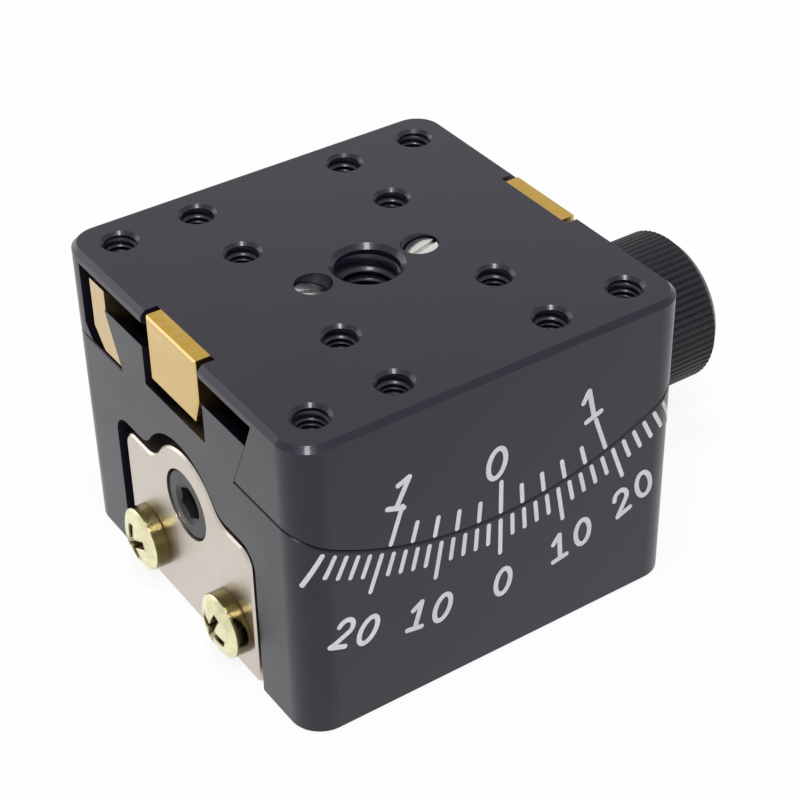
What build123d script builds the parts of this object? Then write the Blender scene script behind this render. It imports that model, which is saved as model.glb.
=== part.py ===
from build123d import *
import math
import os

# Manual tilt stage. The frame has +Z up, the scale faces -Y and the knob points to +X.
# The origin is the centre of the bottom mounting face. All sizes are in millimetres.

# Driving dimensions of the stage
SIDE = 40.0
HEIGHT = 31.0
CORNER_R = 3.0
EDGE_BREAK = 0.5
SMALL_BREAK = 0.25
SEAM_BREAK = 0.15
OVERCUT = 1.0
CENTRE_ABOVE_TOP = 20.0
TILT_Z = HEIGHT + CENTRE_ABOVE_TOP
TRAVEL_DEG = 20.0

# Radii of the arc guide about the tilt axis
SEAM_R = 35.2
SEAM_GAP = 0.05
RAIL_TOP_R = 31.0
ROOF_R = 29.05
RAIL_TOP_HALF = 12.1
FLANK_DEG = 30.0
FLANK_GAP = 0.05
SWEEP_HALF_DEG = 60.0

# Gib and the pocket behind the rear flank
POCKET_Y = 16.5
POCKET_TOE_Y = 15.2
POCKET_BEND_R = 34.0
GIB_BACK_Y = 14.85
GIB_TOE_Y = 13.2
GIB_TOP_R = 29.5
GIB_BEND_R = 33.4
GIB_BOTTOM_R = 34.95
GIB_END_SETBACK = 0.15

# Worm gear pair: one tooth of the sector for each turn of the worm
TOOTH_DEG = 2.0
PITCH_R = 32.84
ADDENDUM = 0.36
DEDENDUM = 0.45
PRESSURE_DEG = 20.0
BACKLASH = 0.14
WORM_Z = 13.0
WORM_PITCH_R = TILT_Z - WORM_Z - PITCH_R
TOOTH_PITCH = PITCH_R * math.radians(TOOTH_DEG)
LEAD_DEG = math.degrees(math.atan(TOOTH_PITCH / (2 * math.pi * WORM_PITCH_R)))
TOOTHED_HALF_DEG = 32.0

# Worm wheel sector and the grooves around it
SECTOR_INNER_R = 27.1
SECTOR_WIDTH = 8.4
SECTOR_END_X = 19.85
SECTOR_BEVEL_R = 31.2
SECTOR_BEVEL = 0.9
SECTOR_EDGE_BREAK = 0.15
NOTCH_WIDTH = 9.8
RAIL_GROOVE_WIDTH = 10.4
RAIL_GROOVE_R = 34.2

# Worm, shaft and bushes along the worm axis
WORM_HALF = 6.4
THREAD_RUNOUT = 0.6
THREAD_ROOT_GAP = 0.1
THREAD_SINK = 0.15
CROSS_PIN_R = 0.75
HUB_END_X = 11.0
HUB_R = 4.4
WASHER_END_X = 12.0
SHAFT_R = 3.0
SHAFT_START_X = -14.2
SHAFT_END_X = 33.0
SHAFT_BREAK = 0.3
RUNNING_GAP = 0.03
WASHER_GAP = 0.1
THRUST_WASHER_R = 5.6
KNOB_WASHER_R = 5.5
CHAMBER_R = 5.8
REAR_BUSH_END_X = -10.0
FRONT_BUSH_R = 4.0
FLANGE_R = 6.5
FLANGE_END_X = 21.0

# End plate in the recess opposite the knob
RECESS_DEPTH = 3.0
RECESS_HALF_WIDTH = 12.3
RECESS_SHOULDER_Z = 16.0
RECESS_HUMP_R = 6.9
RECESS_NECK_R = 2.2
RECESS_SHOULDER_R = 2.2
PLATE_FACE_X = -19.8
PLATE_HALF_WIDTH = 11.1
PLATE_SHOULDER_Z = 14.7
PLATE_HUMP_R = 5.6
PLATE_FOOT_Z = 0.15
PLATE_NECK_R = 3.0
PLATE_SHOULDER_R = 1.6
PLATE_EDGE_BREAK = 0.2
PLATE_SCREW_Y = 7.25
PLATE_SCREW_Z = 4.7
PLATE_SCREW_LENGTH = 8.0
PLATE_SCREW_CLEARANCE = 0.15
PLATE_SCREW_END_GAP = 0.2
PRELOAD_R = 3.5
PRELOAD_NOSE_R = 2.2
PRELOAD_NOSE_LENGTH = 1.0
PRELOAD_SOCKET = 3.0
PRELOAD_SOCKET_DEPTH = 2.0
PRELOAD_SETBACK = 0.15
PRELOAD_RIM_BREAK = 0.3
PRELOAD_MOUTH_R = 2.1
PRELOAD_MOUTH_DEPTH = 0.3
BALL_R = 1.5
BALL_SEAT_R = 1.4
BALL_SEAT_HALF_DEG = 30.0

# Pan heads of the two end plate screws, with a tapered cross recess
PAN_HEAD_R = 3.1
PAN_HEAD_HEIGHT = 2.35
PAN_RIM_HEIGHT = 1.45
PLATE_SCREW_TURN = 20.0
CROSS_HALF_SPAN = 2.15
CROSS_TIP_R = 0.7
CROSS_DEPTH = 1.5
CROSS_ARM = 0.85

# Knob with a straight knurl
KNOB_R = 7.75
KNOB_START_X = 21.5
KNOB_COLLAR_X = 23.0
KNOB_COLLAR_R = 7.4
KNOB_END_X = 36.2
KNOB_EDGE_BREAK = 1.0
KNOB_SCREW_X = 26.0
KNOB_SCREW_LENGTH = 3.0
KNURL_COUNT = 70
KNURL_DEPTH = 0.2
KNURL_HALF_WIDTH = 0.24

# Screw sizes, drawn plain at the thread's nominal diameter
M2_R = 1.0
M3_R = 1.5
M4_R = 2.0
M6_R = 3.0
SET_SCREW_BREAK = 0.2
SET_SCREW_SOCKET = 1.5
SET_SCREW_SOCKET_SHARE = 0.45
SET_SCREW_HOLE_RISE = 2.0
MOUTH_BREAK = 0.3
M6_MOUTH_BREAK = 0.45
CORNER_HOLE = 16.0
INNER_HOLE = 8.0
TOP_HOLE_DEPTH = 5.0
CORNER_HOLE_DEPTH = 3.2
BASE_HOLE_DEPTH = 6.0
SECTOR_SCREW_DEG = 15.6
SECTOR_SCREW_HEAD_R = 1.55
SECTOR_SCREW_HEAD = 1.3
SECTOR_SCREW_BORE_R = 1.7
SECTOR_SCREW_TOP_R = 21.5
SECTOR_SCREW_REACH = 3.2
SECTOR_SCREW_HOLE_REACH = 4.0
SECTOR_SCREW_MOUTH_R = 17.0
SECTOR_SCREW_CLEARANCE = 0.1
SECTOR_SCREW_SLOT = 0.5
DOWEL_DEG = 24.0
DOWEL_R = 0.75
DOWEL_LENGTH = 5.0
STOP_PIN_Y = -8.2
STOP_PIN_R = 1.0
STOP_SLOT_R = 33.0
STOP_SLOT_HALF = 1.2
STOP_SLOT_SPARE_DEG = 0.5
STOP_PIN_PRESS = 3.5
STOP_PIN_TIP_GAP = 0.4
GIB_SCREW_DEGREES = (-14.0, 0.0, 14.0)
GIB_SCREW_RADIUS = 31.6
GIB_SCREW_SOCKET_Y = 19.0

TILT_AXIS = Axis((0, 0, TILT_Z), (0, 1, 0))
END_X = -SIDE / 2


def spoke(angle):
    """Frame at the tilt axis whose -Z axis points down the radius at this angle."""
    return Pos(0, 0, TILT_Z) * Rot(0, -angle, 0)


def flank_y(radius):
    """Half width of the male dovetail at a radius from the tilt axis."""
    return RAIL_TOP_HALF - (radius - RAIL_TOP_R) * math.tan(math.radians(FLANK_DEG))


def arc_sweep(section):
    """Turn a closed section of (y, radius) points about the tilt axis."""
    points = [(0, y, TILT_Z - radius) for y, radius in section]
    face = make_face(Polyline(*points, close=True))
    start = face.rotate(TILT_AXIS, SWEEP_HALF_DEG)
    turned = revolve(start, axis=TILT_AXIS, revolution_arc=-2 * SWEEP_HALF_DEG)
    return turned


def arc_band(inner, outer, y_low, y_high):
    """Part of a ring about the tilt axis, between two radii and two planes."""
    return arc_sweep([(y_low, inner), (y_high, inner), (y_high, outer), (y_low, outer)])


def block(low_z, high_z):
    """Square block with rounded upright corners."""
    outline = RectangleRounded(SIDE, SIDE, CORNER_R)
    return extrude(Plane.XY.offset(low_z) * outline, high_z - low_z)


def along_x(radius, start_x, end_x, y=0.0, z=WORM_Z):
    """Cylinder parallel to the worm axis."""
    middle = Pos((start_x + end_x) / 2, y, z)
    return middle * Rot(0, 90, 0) * Cylinder(radius, abs(end_x - start_x))


def tapped_hole(radius, depth, mouth):
    """Cutter that opens at z = 0 and reaches down, with a chamfered mouth."""
    outline = [
        (0, 0),
        (radius + mouth, 0),
        (radius, -mouth),
        (radius, -depth),
        (0, -depth),
    ]
    profile = make_face(Polyline(*outline, close=True))
    return revolve(Plane.XZ * profile, axis=Axis.Z)


def down_hole(radius, depth, x, y, mouth=MOUTH_BREAK):
    """Cutter for a hole in the top face."""
    return Pos(x, y, HEIGHT) * tapped_hole(radius, depth, mouth)


def up_hole(radius, depth, x, y):
    """Cutter for a hole in the bottom face."""
    return Pos(x, y, 0) * Rot(180, 0, 0) * tapped_hole(radius, depth, MOUTH_BREAK)


def seam_edges(body, radius):
    """Edges where the arc seam meets the outside of the block."""
    found = []
    for edge in body.edges():
        points = [edge @ share for share in (0, 0.5, 1)]
        on_arc = all(abs(math.hypot(p.X, p.Z - TILT_Z) - radius) < 0.001 for p in points)
        flat = SIDE / 2 - CORNER_R
        outside = all(max(abs(p.X), abs(p.Y)) > flat - 0.001 for p in points)
        middle = points[1]
        at_face = max(abs(middle.X), abs(middle.Y)) > SIDE / 2 - CORNER_R * 0.3
        if on_arc and outside and at_face:
            found.append(edge)
    return found


def four_corners(x, y):
    """The four positions of a rectangle of holes."""
    return [(side_x * x, side_y * y) for side_x in (-1, 1) for side_y in (-1, 1)]


def hex_socket(width, depth):
    """Hexagonal socket cutter that opens at z = 0 and reaches down."""
    return extrude(Plane.XY.offset(-depth) * RegularPolygon(width / 2, 6, major_radius=False), depth)


def set_screw(length):
    """Headless M3 screw with its socket at z = 0 and its tip at z = -length."""
    body = Pos(0, 0, -length / 2) * Cylinder(M3_R, length)
    body = chamfer(body.edges().filter_by(GeomType.CIRCLE), SET_SCREW_BREAK)
    return body - hex_socket(SET_SCREW_SOCKET, length * SET_SCREW_SOCKET_SHARE)


def set_screw_hole(length):
    """Hole of a set screw, open above its socket."""
    return Pos(0, 0, (SET_SCREW_HOLE_RISE - length) / 2) * Cylinder(M3_R, length + SET_SCREW_HOLE_RISE)


def end_outline(half_width, shoulder_z, hump_r, foot_z, neck_r, shoulder_r):
    """Outline of the end plate and of its recess: a block with a hump about the worm axis."""
    low = Pos(0, (shoulder_z + foot_z) / 2) * Rectangle(2 * half_width, shoulder_z - foot_z)
    joined = low + Pos(0, WORM_Z) * Circle(hump_r)
    necks = [v for v in joined.vertices() if abs(v.X) < half_width - 1 and v.Y > foot_z + 1]
    joined = fillet(necks, neck_r)
    shoulders = [v for v in joined.vertices() if abs(v.X) > half_width - 0.01 and v.Y > foot_z + 1]
    return fillet(shoulders, shoulder_r)


def end_face_plane(x):
    """Plane across the worm axis, whose first axis is Y and second is Z."""
    return Plane(origin=(x, 0, 0), x_dir=(0, 1, 0), z_dir=(1, 0, 0))


def make_base_body():
    """Base with rail, worm chamber, end recess and mounting holes."""
    half = SIDE / 2 + OVERCUT
    above_guide = [
        (-half, CENTRE_ABOVE_TOP - OVERCUT),
        (-half, SEAM_R),
        (-flank_y(SEAM_R), SEAM_R),
        (-RAIL_TOP_HALF, RAIL_TOP_R),
        (RAIL_TOP_HALF, RAIL_TOP_R),
        (flank_y(SEAM_R), SEAM_R),
        (half, SEAM_R),
        (half, CENTRE_ABOVE_TOP - OVERCUT),
    ]
    body = block(0, HEIGHT)
    bottom_edges = body.edges().group_by(Axis.Z)[0]
    body = chamfer(bottom_edges, SMALL_BREAK)
    body = body - arc_sweep(above_guide)
    groove_half = RAIL_GROOVE_WIDTH / 2
    body = body - arc_band(RAIL_TOP_R - OVERCUT, RAIL_GROOVE_R, -groove_half, groove_half)
    body = body - stop_slot()
    body = body - along_x(CHAMBER_R, END_X, WASHER_END_X)
    body = body - along_x(FRONT_BUSH_R, 0, SIDE / 2 + OVERCUT)
    recess = end_outline(
        RECESS_HALF_WIDTH, RECESS_SHOULDER_Z, RECESS_HUMP_R, -OVERCUT, RECESS_NECK_R, RECESS_SHOULDER_R
    )
    body = body - extrude(end_face_plane(END_X) * recess, RECESS_DEPTH)
    screw_hole_x = PLATE_FACE_X + PLATE_SCREW_LENGTH + PLATE_SCREW_END_GAP
    for side in (-1, 1):
        body = body - along_x(M3_R, END_X, screw_hole_x, side * PLATE_SCREW_Y, PLATE_SCREW_Z)
    for x, y in four_corners(CORNER_HOLE, CORNER_HOLE):
        body = body - up_hole(M4_R, BASE_HOLE_DEPTH, x, y)
    return chamfer(seam_edges(body, SEAM_R), SEAM_BREAK)


def stop_slot():
    """Arc slot in the rail top in which the stop pin travels."""
    half_turn = TRAVEL_DEG + STOP_SLOT_SPARE_DEG
    low = STOP_PIN_Y - STOP_SLOT_HALF
    high = STOP_PIN_Y + STOP_SLOT_HALF
    inner = RAIL_TOP_R - OVERCUT
    section = [(low, inner), (high, inner), (high, STOP_SLOT_R), (low, STOP_SLOT_R)]
    points = [(0, y, TILT_Z - radius) for y, radius in section]
    face = make_face(Polyline(*points, close=True))
    slot = revolve(face.rotate(TILT_AXIS, half_turn), axis=TILT_AXIS, revolution_arc=-2 * half_turn)
    for side in (-1, 1):
        end = spoke(side * half_turn) * Pos(0, STOP_PIN_Y, -(inner + STOP_SLOT_R) / 2)
        slot = slot + end * Cylinder(STOP_SLOT_HALF, STOP_SLOT_R - inner)
    return slot


def make_stage_plate():
    """Stage plate with the female dovetail, gib pocket, sector groove and holes."""
    body = block(TILT_Z - SEAM_R, HEIGHT)
    top_edges = body.edges().group_by(Axis.Z)[-1]
    body = chamfer(top_edges, EDGE_BREAK)
    half = SIDE / 2 + OVERCUT
    body = body - arc_band(SEAM_R - SEAM_GAP, TILT_Z, -half, half)
    front = FLANK_GAP / math.cos(math.radians(FLANK_DEG))
    channel = [
        (-flank_y(ROOF_R) - front, ROOF_R),
        (POCKET_Y, ROOF_R),
        (POCKET_Y, POCKET_BEND_R),
        (POCKET_TOE_Y, SEAM_R),
        (POCKET_TOE_Y, SEAM_R + OVERCUT),
        (-flank_y(SEAM_R + OVERCUT) - front, SEAM_R + OVERCUT),
    ]
    body = body - arc_sweep(channel)
    notch_half = NOTCH_WIDTH / 2
    body = body - arc_band(SECTOR_INNER_R, ROOF_R + OVERCUT, -notch_half, notch_half)
    centre_depth = SECTOR_INNER_R - CENTRE_ABOVE_TOP + OVERCUT / 2
    body = body - down_hole(M6_R, centre_depth, 0, 0, M6_MOUTH_BREAK)
    for x, y in four_corners(CORNER_HOLE, CORNER_HOLE):
        body = body - down_hole(M3_R, CORNER_HOLE_DEPTH, x, y)
    for x, y in four_corners(INNER_HOLE, CORNER_HOLE):
        body = body - down_hole(M3_R, TOP_HOLE_DEPTH, x, y)
    for x, y in four_corners(INNER_HOLE, INNER_HOLE):
        body = body - down_hole(M3_R, TOP_HOLE_DEPTH, x, y)
    for angle in (-SECTOR_SCREW_DEG, SECTOR_SCREW_DEG):
        body = body - sector_screw_cutter(angle)
    for angle in (-DOWEL_DEG, DOWEL_DEG):
        body = body - sector_dowel(angle)
    body = body - gib_screw_cutters() - stop_pin()
    return chamfer(seam_edges(body, SEAM_R - SEAM_GAP), SEAM_BREAK)


def sector_screw_cutter(angle):
    """Radial counterbored hole for one sector screw."""
    seat = SECTOR_SCREW_TOP_R + SECTOR_SCREW_HEAD
    top = SECTOR_SCREW_MOUTH_R
    bottom = SECTOR_INNER_R + OVERCUT
    mouth = Pos(0, 0, -(seat + top) / 2) * Cylinder(SECTOR_SCREW_BORE_R, seat - top)
    shank_r = M2_R + SECTOR_SCREW_CLEARANCE
    shank = Pos(0, 0, -(top + bottom) / 2) * Cylinder(shank_r, bottom - top)
    return spoke(angle) * (mouth + shank)


def sector_dowel(angle):
    """One radial dowel pin, half in the stage plate and half in the sector."""
    return spoke(angle) * Pos(0, 0, -SECTOR_INNER_R) * Cylinder(DOWEL_R, DOWEL_LENGTH)


def stop_pin():
    """Pin that hangs from the plate's roof into the slot of the rail."""
    top_r = ROOF_R - STOP_PIN_PRESS
    tip_r = STOP_SLOT_R - STOP_PIN_TIP_GAP
    return Pos(0, STOP_PIN_Y, TILT_Z - (top_r + tip_r) / 2) * Cylinder(STOP_PIN_R, tip_r - top_r)


def gib_screw_frames():
    """Places of the gib screws: z = 0 at the socket, -z towards the gib."""
    return [
        spoke(angle) * Pos(0, GIB_SCREW_SOCKET_Y, -GIB_SCREW_RADIUS) * Rot(-90, 0, 0)
        for angle in GIB_SCREW_DEGREES
    ]


def gib_screw_cutters():
    """Threaded holes through the rear leg."""
    hole = set_screw_hole(GIB_SCREW_SOCKET_Y - GIB_BACK_Y)
    return Compound([frame * hole for frame in gib_screw_frames()])


def make_gib():
    """Brass gib strip, curved with the guide, that bears on the rear flank."""
    section = [
        (RAIL_TOP_HALF + FLANK_GAP, GIB_TOP_R),
        (RAIL_TOP_HALF + FLANK_GAP, RAIL_TOP_R),
        (flank_y(GIB_BOTTOM_R) + FLANK_GAP, GIB_BOTTOM_R),
        (GIB_TOE_Y, GIB_BOTTOM_R),
        (GIB_BACK_Y, GIB_BEND_R),
        (GIB_BACK_Y, GIB_TOP_R),
    ]
    length = SIDE - 2 * GIB_END_SETBACK
    room = Pos(0, 0, HEIGHT / 2) * Box(length, SIDE, HEIGHT)
    return arc_sweep(section) & room


def make_gib_screws():
    """Three set screws that press the gib against the rail."""
    length = GIB_SCREW_SOCKET_Y - GIB_BACK_Y
    return [frame * set_screw(length) for frame in gib_screw_frames()]


def tooth_gap(angle):
    """Cutter for one gap between teeth, tilted by the worm's lead angle."""
    slope = math.tan(math.radians(PRESSURE_DEG))
    pitch_half = TOOTH_PITCH / 4 + BACKLASH / 2
    root = PITCH_R - DEDENDUM
    outer = PITCH_R + 2 * ADDENDUM
    root_half = pitch_half - DEDENDUM * slope
    outer_half = pitch_half + 2 * ADDENDUM * slope
    corners = [(-root_half, -root), (root_half, -root), (outer_half, -outer), (-outer_half, -outer)]
    profile = make_face(Polyline(*corners, close=True))
    bar = extrude(Plane.XZ * profile, SECTOR_WIDTH, both=True)
    return spoke(angle) * Rot(0, 0, LEAD_DEG) * bar


def make_worm_sector():
    """Brass worm wheel sector, cut off square at the ends and level with the top face."""
    half = SECTOR_WIDTH / 2
    tip_r = PITCH_R + ADDENDUM
    ring = arc_sweep([
        (-half, SECTOR_INNER_R),
        (half, SECTOR_INNER_R),
        (half, tip_r),
        (SECTOR_BEVEL - half, tip_r),
        (-half, SECTOR_BEVEL_R),
    ])
    room = Pos(0, 0, HEIGHT / 2) * Box(2 * SECTOR_END_X, SIDE, HEIGHT)
    body = ring & room
    end_edges = [edge for edge in body.edges() if abs(edge.center().X) > SECTOR_END_X - 0.01]
    body = chamfer(end_edges, SECTOR_EDGE_BREAK)
    count = int(TOOTHED_HALF_DEG / TOOTH_DEG)
    gaps = [tooth_gap(TOOTH_DEG * index) for index in range(-count, count + 1)]
    body = body - Compound(gaps)
    for angle in (-SECTOR_SCREW_DEG, SECTOR_SCREW_DEG):
        screw_hole = Cylinder(M2_R, 2 * SECTOR_SCREW_HOLE_REACH)
        body = body - spoke(angle) * Pos(0, 0, -SECTOR_INNER_R) * screw_hole
    for angle in (-DOWEL_DEG, DOWEL_DEG):
        body = body - sector_dowel(angle)
    return body


def make_sector_screws():
    """Two slotted screws that pull the sector against the plate."""
    screws = []
    for angle in (-SECTOR_SCREW_DEG, SECTOR_SCREW_DEG):
        seat = SECTOR_SCREW_TOP_R + SECTOR_SCREW_HEAD
        tip = SECTOR_INNER_R + SECTOR_SCREW_REACH
        head = Cylinder(SECTOR_SCREW_HEAD_R, SECTOR_SCREW_HEAD)
        head = Pos(0, 0, -(SECTOR_SCREW_TOP_R + seat) / 2) * head
        slot = Box(3 * SECTOR_SCREW_HEAD_R, SECTOR_SCREW_SLOT, 2 * SECTOR_SCREW_SLOT)
        slot = Pos(0, 0, -SECTOR_SCREW_TOP_R) * slot
        shank = Pos(0, 0, -(seat + tip) / 2) * Cylinder(M2_R, tip - seat)
        screws.append(spoke(angle) * (head + shank - slot))
    return screws


def make_worm():
    """Worm with its hub, cross hole and a right hand thread of one start."""
    root_r = WORM_PITCH_R - ADDENDUM - THREAD_ROOT_GAP
    core = along_x(root_r, -WORM_HALF, WORM_HALF)
    hub = along_x(HUB_R, WORM_HALF, HUB_END_X)
    thread = worm_thread(root_r)
    bore = along_x(SHAFT_R, -WORM_HALF - OVERCUT, HUB_END_X + OVERCUT)
    return core + thread + hub - bore - worm_cross_pin()


def worm_thread(root_r):
    """Helical ridge whose crest passes the top of the worm at x = 0."""
    slope = math.tan(math.radians(PRESSURE_DEG))
    pitch_half = TOOTH_PITCH / 4
    crest_r = WORM_PITCH_R + ADDENDUM
    foot_r = root_r - THREAD_SINK
    turns = 2 * int((WORM_HALF - THREAD_RUNOUT) / TOOTH_PITCH)
    start_x = -TOOTH_PITCH * turns / 2
    foot_half = pitch_half + (WORM_PITCH_R - foot_r) * slope
    crest_half = pitch_half - ADDENDUM * slope
    corners = [(foot_r, -foot_half), (crest_r, -crest_half), (crest_r, crest_half), (foot_r, foot_half)]
    profile = make_face(Polyline(*corners, close=True))
    path = Helix(TOOTH_PITCH, TOOTH_PITCH * turns, root_r)
    ridge = sweep(Plane.XZ * profile, path=path, is_frenet=True)
    return Pos(start_x, 0, WORM_Z) * Rot(0, 90, 0) * Rot(0, 0, 180) * ridge


def worm_cross_pin():
    """Pin through the hub of the worm and the shaft."""
    return Pos((WORM_HALF + HUB_END_X) / 2, 0, WORM_Z) * Cylinder(CROSS_PIN_R, 2 * HUB_R)


def make_worm_shaft():
    """Shaft with a seat for the ball at one end and chamfers at both."""
    length = SHAFT_END_X - SHAFT_START_X
    seat_depth = BALL_SEAT_R / math.tan(math.radians(BALL_SEAT_HALF_DEG))
    outline = [
        (0, seat_depth),
        (BALL_SEAT_R, 0),
        (SHAFT_R - SHAFT_BREAK, 0),
        (SHAFT_R, SHAFT_BREAK),
        (SHAFT_R, length - SHAFT_BREAK),
        (SHAFT_R - SHAFT_BREAK, length),
        (0, length),
    ]
    profile = make_face(Polyline(*outline, close=True))
    shaft = revolve(Plane.XZ * profile, axis=Axis.Z)
    shaft = Pos(SHAFT_START_X, 0, WORM_Z) * Rot(0, 90, 0) * shaft
    return shaft - worm_cross_pin()


def thrust_ball_x():
    """Place of the ball on the worm axis, just short of the centre hole in the shaft."""
    half = math.radians(BALL_SEAT_HALF_DEG)
    apex_x = SHAFT_START_X + BALL_SEAT_R / math.tan(half)
    return apex_x - (BALL_R + RUNNING_GAP) / math.sin(half)


def make_thrust_washer():
    """Bronze washer between the worm's hub and the step of the chamber."""
    washer = along_x(THRUST_WASHER_R, HUB_END_X + RUNNING_GAP, WASHER_END_X)
    return washer - along_x(SHAFT_R + WASHER_GAP, HUB_END_X, WASHER_END_X + OVERCUT)


def make_rear_bush():
    """Plain bronze bush behind the end plate."""
    bush = along_x(CHAMBER_R, END_X + RECESS_DEPTH, REAR_BUSH_END_X)
    return bush - along_x(SHAFT_R + RUNNING_GAP, END_X, 0)


def make_front_bush():
    """Flanged bronze bush on the knob side."""
    bush = along_x(FRONT_BUSH_R, WASHER_END_X, SIDE / 2)
    bush = bush + along_x(FLANGE_R, SIDE / 2, FLANGE_END_X)
    return bush - along_x(SHAFT_R + RUNNING_GAP, 0, SIDE)


def make_knob_washer():
    """Thin washer between the bush's flange and the knob."""
    washer = along_x(KNOB_WASHER_R, FLANGE_END_X, KNOB_START_X - RUNNING_GAP)
    return washer - along_x(SHAFT_R + WASHER_GAP, 0, SIDE)


def make_end_plate():
    """Bright plate that closes the worm chamber and carries the preload screw."""
    outline = end_outline(
        PLATE_HALF_WIDTH, PLATE_SHOULDER_Z, PLATE_HUMP_R, PLATE_FOOT_Z, PLATE_NECK_R, PLATE_SHOULDER_R
    )
    inner_x = END_X + RECESS_DEPTH
    plate = extrude(end_face_plane(PLATE_FACE_X) * outline, inner_x - PLATE_FACE_X)
    outer_edges = plate.edges().group_by(Axis.X)[0]
    plate = chamfer(outer_edges, PLATE_EDGE_BREAK)
    plate = plate - along_x(PRELOAD_R, END_X - OVERCUT, inner_x + OVERCUT)
    hole_r = M3_R + PLATE_SCREW_CLEARANCE
    for side in (-1, 1):
        plate = plate - along_x(hole_r, END_X, inner_x + OVERCUT, side * PLATE_SCREW_Y, PLATE_SCREW_Z)
    return plate


def make_preload_screw():
    """Black socket screw in the end plate that presses the ball on the shaft."""
    inner_x = END_X + RECESS_DEPTH
    face_x = PLATE_FACE_X + PRELOAD_SETBACK
    body = along_x(PRELOAD_R, face_x, inner_x)
    rim = body.edges().filter_by(GeomType.CIRCLE).sort_by(Axis.X)[0]
    body = chamfer(rim, PRELOAD_RIM_BREAK)
    body = body + along_x(PRELOAD_NOSE_R, inner_x, inner_x + PRELOAD_NOSE_LENGTH)
    socket = hex_socket(PRELOAD_SOCKET, PRELOAD_SOCKET_DEPTH)
    mouth_half = PRELOAD_MOUTH_DEPTH / 2
    mouth = Pos(0, 0, -mouth_half) * Cone(PRELOAD_SOCKET / 2, PRELOAD_MOUTH_R, PRELOAD_MOUTH_DEPTH)
    face = Pos(face_x, 0, WORM_Z) * Rot(0, -90, 0)
    ball = Pos(thrust_ball_x(), 0, WORM_Z) * Sphere(BALL_R)
    return body - face * (socket + mouth) - ball


def make_end_plate_screws():
    """Two cross-recess pan head screws, turned a little against each other."""
    screws = []
    for side in (-1, 1):
        place = Pos(PLATE_FACE_X, side * PLATE_SCREW_Y, PLATE_SCREW_Z) * Rot(0, -90, 0)
        screws.append(place * Rot(0, 0, PLATE_SCREW_TURN * side) * pan_head_screw())
    return screws


def pan_head_screw():
    """One screw whose head stands on z = 0."""
    outline = Polyline(
        (0, -PLATE_SCREW_LENGTH),
        (M3_R, -PLATE_SCREW_LENGTH),
        (M3_R, 0),
        (PAN_HEAD_R, 0),
        (PAN_HEAD_R, PAN_RIM_HEIGHT),
    )
    top = (0, PAN_HEAD_HEIGHT)
    dome_rise = PAN_HEAD_HEIGHT - PAN_RIM_HEIGHT
    dome_r = (PAN_HEAD_R**2 + dome_rise**2) / (2 * dome_rise)
    dome = RadiusArc((PAN_HEAD_R, PAN_RIM_HEIGHT), top, -dome_r)
    axis_line = Line(top, (0, -PLATE_SCREW_LENGTH))
    profile = make_face([outline, dome, axis_line])
    screw = revolve(Plane.XZ * profile, axis=Axis.Z)
    return screw - Pos(0, 0, PAN_HEAD_HEIGHT) * cross_recess()


def cross_recess():
    """Tapered cross cutter that reaches down from z = 0, and as a plain cross a little above it."""
    span = 2 * CROSS_HALF_SPAN
    arms = Box(span, CROSS_ARM, 3 * CROSS_DEPTH) + Box(CROSS_ARM, span, 3 * CROSS_DEPTH)
    outline = [
        (0, -CROSS_DEPTH - CROSS_TIP_R * 0.5),
        (CROSS_TIP_R, -CROSS_DEPTH),
        (CROSS_HALF_SPAN, 0),
        (CROSS_HALF_SPAN, 1),
        (0, 1),
    ]
    taper = revolve(Plane.XZ * make_face(Polyline(*outline, close=True)), axis=Axis.Z)
    return arms & taper


def make_knob():
    """Knurled knob with a plain collar, a chamfered outer edge, a bore and two holes for set screws."""
    grip = along_x(KNOB_R, KNOB_COLLAR_X, KNOB_END_X)
    outer_edge = grip.edges().filter_by(GeomType.CIRCLE).sort_by(Axis.X)[-1]
    grip = chamfer(outer_edge, KNOB_EDGE_BREAK) - knurl_grooves()
    knob = grip + along_x(KNOB_COLLAR_R, KNOB_START_X, KNOB_COLLAR_X)
    knob = knob - along_x(SHAFT_R, KNOB_START_X - OVERCUT, SHAFT_END_X)
    for turn in (0, 90):
        knob = knob - knob_screw_frame(turn) * set_screw_hole(KNOB_SCREW_LENGTH)
    return knob


def knurl_grooves():
    """V grooves along the worm axis, evenly spaced round the knob."""
    outer = KNOB_R + KNURL_DEPTH
    corners = [
        (KNOB_R - KNURL_DEPTH, 0),
        (outer, 2 * KNURL_HALF_WIDTH),
        (outer, -2 * KNURL_HALF_WIDTH),
    ]
    groove = extrude(make_face(Polyline(*corners, close=True)), KNOB_END_X - KNOB_COLLAR_X + 1)
    start = Pos(KNOB_COLLAR_X - 0.5, 0, WORM_Z) * Rot(0, 90, 0)
    step = 360 / KNURL_COUNT
    return [start * Rot(0, 0, step * (index + 0.5)) * groove for index in range(KNURL_COUNT)]


def knob_screw_frame(turn):
    """Place of one knob screw: z = 0 at its socket, -z towards the shaft."""
    return Pos(KNOB_SCREW_X, 0, WORM_Z) * Rot(turn, 0, 0) * Pos(0, 0, SHAFT_R + KNOB_SCREW_LENGTH)


def make_knob_set_screws():
    """Two set screws at right angles that grip the shaft."""
    return [knob_screw_frame(turn) * set_screw(KNOB_SCREW_LENGTH) for turn in (0, 90)]


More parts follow.
